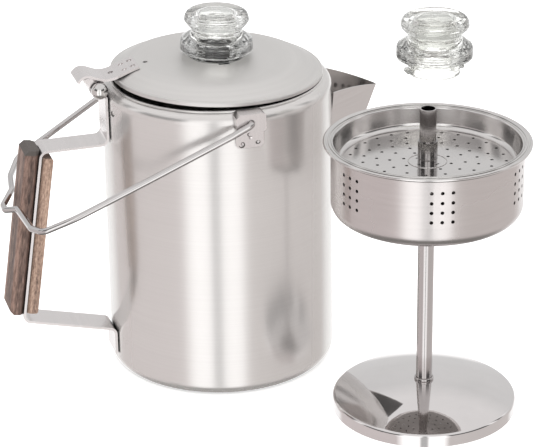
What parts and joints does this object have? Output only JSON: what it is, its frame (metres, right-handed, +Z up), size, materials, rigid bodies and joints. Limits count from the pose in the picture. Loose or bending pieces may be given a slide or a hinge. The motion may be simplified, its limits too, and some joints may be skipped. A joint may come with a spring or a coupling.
{
  "type": "camping coffee percolator",
  "caption": "Stainless steel camping percolator with hinged lid, glass knob, wire bail, V spout and wood-gripped strap handle, with pump, basket and a spare knob beside it.",
  "frame": {"origin": "centre of the pot's flat bottom, on the pot's own axis", "axes": "+Z up along the pot's axis, +X toward the spout, -X toward the strap handle and lid hinge, ears on +Y and -Y"},
  "size_m": [0.3006, 0.2605, 0.2524],
  "materials": {
    "satin_steel": "satin, brushed round the pot",
    "bright_steel": "bright rolled sheet",
    "wire_steel": "bright drawn wire",
    "tube_aluminium": "satin drawn tube",
    "knob_glass": "clear pressed glass",
    "outer_wood": "oiled hardwood, darker",
    "inner_wood": "oiled hardwood, lighter"
  },
  "bodies": {
    "pot": {"pot_shell": "satin_steel", "spout": "satin_steel", "ear_near": "satin_steel", "ear_far": "satin_steel", "handle_strap": "bright_steel", "grip_outer": "outer_wood", "grip_inner": "inner_wood", "grip_dowels": "bright_steel", "hinge_pin": "bright_steel", "hinge_pin_cap": "bright_steel"},
    "lid": {"lid_dome": "satin_steel", "lid_lever": "bright_steel"},
    "knob": {"glass_knob": "knob_glass"},
    "bail": {"bail_wire": "wire_steel"},
    "insert": {"pump_base": "bright_steel", "pump_tube": "tube_aluminium", "tube_bead": "tube_aluminium", "basket_stop": "tube_aluminium"},
    "basket": {"basket_bowl": "bright_steel", "basket_collar": "tube_aluminium"},
    "spreader": {"spreader_plate": "bright_steel", "spreader_sleeve": "tube_aluminium"},
    "spare": {"spare_knob": "knob_glass"}
  },
  "joints": [
    {"name": "lid_hinge", "type": "hinge", "parent": "pot", "child": "lid", "pos_m": [-0.0774, 0, 0.191], "axis": [0, -1, 0], "range_deg": [0, 100]},
    {"name": "knob_turn", "type": "hinge", "parent": "lid", "child": "knob", "pos_m": [0, 0, 0.1924], "axis": [0.0262, 0, 0.9997], "range_deg": [0, 90]},
    {"name": "bail_swing", "type": "hinge", "parent": "pot", "child": "bail", "pos_m": [0, 0, 0.1842], "axis": [0, 1, 0], "range_deg": [0, 204]},
    {"name": "insert_lift", "type": "slide", "parent": "pot", "child": "insert", "axis": [0, 0, 1], "range_m": [0, 0.21]},
    {"name": "basket_lift", "type": "slide", "parent": "insert", "child": "basket", "axis": [0, 0, 1], "range_m": [0, 0.07]},
    {"name": "spreader_lift", "type": "slide", "parent": "basket", "child": "spreader", "axis": [0, 0, 1], "range_m": [0, 0.04]},
    {"name": "spare_knob_lift", "type": "slide", "parent": "spreader", "child": "spare", "axis": [0, 0, 1], "range_m": [0, 0.05]}
  ]
}
